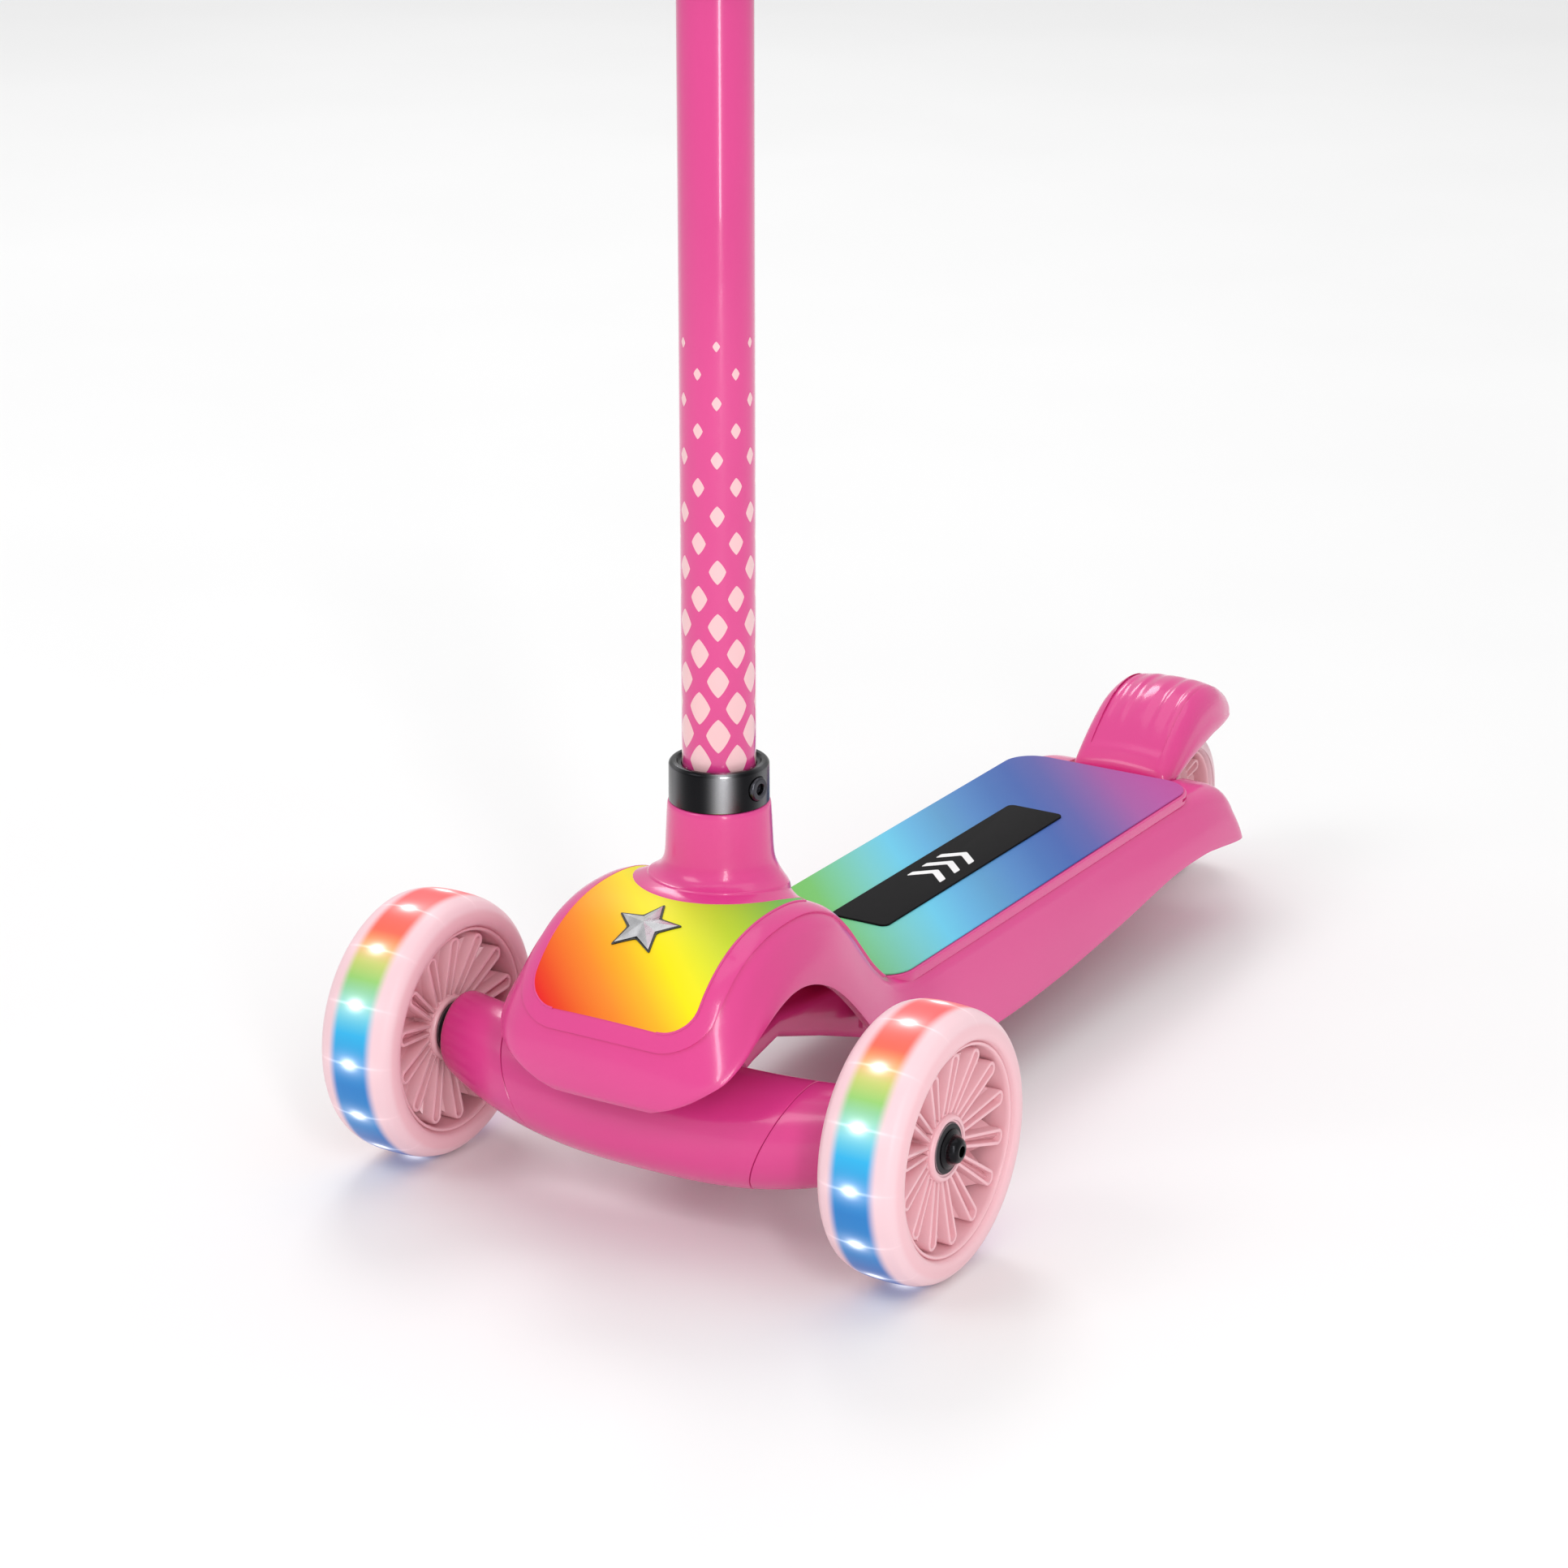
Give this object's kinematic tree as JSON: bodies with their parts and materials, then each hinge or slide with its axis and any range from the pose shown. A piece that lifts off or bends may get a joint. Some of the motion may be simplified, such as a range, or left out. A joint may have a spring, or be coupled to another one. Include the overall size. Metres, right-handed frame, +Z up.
{
  "type": "kick scooter",
  "caption": "Child's lean-to-steer kick scooter with moulded deck, light-up front wheels, height-adjustable T-handlebar and rear foot brake.",
  "frame": {"origin": "centre of the bounding box on the floor", "axes": "+Z up, the front of the scooter towards -Y, +X across the scooter to the rider's left"},
  "size_m": [0.3206, 0.584, 0.681],
  "materials": {
    "pink_shell": "glossy moulded pink plastic",
    "pink_paint": "pink gloss paint with printed pale diamonds",
    "nose_graphic": "printed film, red to yellow to green",
    "deck_graphic": "grained grip sheet, green to blue to violet",
    "black_panel": "black anti-slip rubber",
    "badge_metal": "polished silver with a black edge",
    "steel": "zinc-plated steel",
    "graphite_metal": "black chrome",
    "black_plastic": "black nylon",
    "pale_tyre": "pale pink cast urethane",
    "wheel_core": "pale pink moulded plastic",
    "light_band": "clear ring with coloured lights",
    "grip_rubber": "dark grey ribbed rubber",
    "pale_cap": "pale pink plastic",
    "urethane": "firm urethane"
  },
  "bodies": {
    "deck": {"deck_shell": "pink_shell", "nose_shell": "pink_shell", "nose_cover": "pink_shell", "nose_sheet": "nose_graphic", "nose_badge": "badge_metal", "deck_sheet": "deck_graphic", "deck_panel": "black_panel", "cover_screw_left": "steel", "cover_screw_right": "steel", "neck_sleeve": "pink_shell", "clamp_ring": "graphite_metal", "clamp_bolt": "graphite_metal", "lower_stem": "pink_paint", "stem_bush": "black_plastic", "height_collar": "black_plastic", "collar_skewer": "steel", "collar_nut": "steel", "kingpin": "steel", "lower_bushing": "urethane", "upper_bushing": "urethane", "rear_axle": "steel", "rear_axle_nut": "steel", "rear_spacer_left": "steel", "rear_spacer_right": "steel", "brake_pin": "steel", "brake_spring": "steel"},
    "truck": {"axle_beam": "pink_shell", "beam_arm_left": "pink_shell", "beam_arm_right": "pink_shell", "magnet_spacer_left": "graphite_metal", "magnet_spacer_right": "graphite_metal", "axle_bolt_left": "graphite_metal", "axle_bolt_right": "graphite_metal"},
    "front_wheel_left": {"front_tyre_left": "pale_tyre", "front_core_left": "wheel_core", "light_ring_left": "light_band", "front_left_bearing_inner": "steel", "front_left_bearing_outer": "steel"},
    "front_wheel_right": {"front_tyre_right": "pale_tyre", "front_core_right": "wheel_core", "light_ring_right": "light_band", "front_right_bearing_inner": "steel", "front_right_bearing_outer": "steel"},
    "rear_wheel": {"rear_tyre": "pale_tyre", "rear_core": "wheel_core", "rear_bearing_left": "steel", "rear_bearing_right": "steel"},
    "brake": {"brake_pedal": "pink_shell", "brake_pad": "grip_rubber"},
    "handlebar": {"upper_stem": "pink_paint", "guide_plug": "black_plastic", "bar_tee": "pink_shell", "crossbar": "pink_paint", "grip_left": "grip_rubber", "grip_right": "grip_rubber", "grip_cap_left": "pale_cap", "grip_cap_right": "pale_cap"},
    "lever": {"collar_lever": "black_plastic"}
  },
  "joints": [
    {"name": "lean_steer", "type": "hinge", "parent": "deck", "child": "truck", "pos_m": [0, -0.21, 0.07], "axis": [0, -0.6428, 0.766], "range_deg": [-10, 10], "stiffness_Nm_per_rad": 60},
    {"name": "front_wheel_left_spin", "type": "hinge", "parent": "truck", "child": "front_wheel_left", "pos_m": [-0.1265, -0.232, 0.06], "axis": [1, 0, 0], "continuous": true},
    {"name": "front_wheel_right_spin", "type": "hinge", "parent": "truck", "child": "front_wheel_right", "pos_m": [0.1265, -0.232, 0.06], "axis": [1, 0, 0], "continuous": true},
    {"name": "rear_wheel_spin", "type": "hinge", "parent": "deck", "child": "rear_wheel", "pos_m": [0, 0.252, 0.0395], "axis": [1, 0, 0], "continuous": true},
    {"name": "brake_press", "type": "hinge", "parent": "deck", "child": "brake", "pos_m": [0, 0.204, 0.067], "axis": [-1, 0, 0], "range_deg": [0, 4], "stiffness_Nm_per_rad": 2, "springref_deg": -20.05},
    {"name": "handlebar_height", "type": "slide", "parent": "deck", "child": "handlebar", "axis": [0, 0, 1], "range_m": [-0.05, 0.04]},
    {"name": "lever_open", "type": "hinge", "parent": "deck", "child": "lever", "pos_m": [0.0158, -0.161, 0.5435], "axis": [0, 0, 1], "range_deg": [0, 100]}
  ]
}
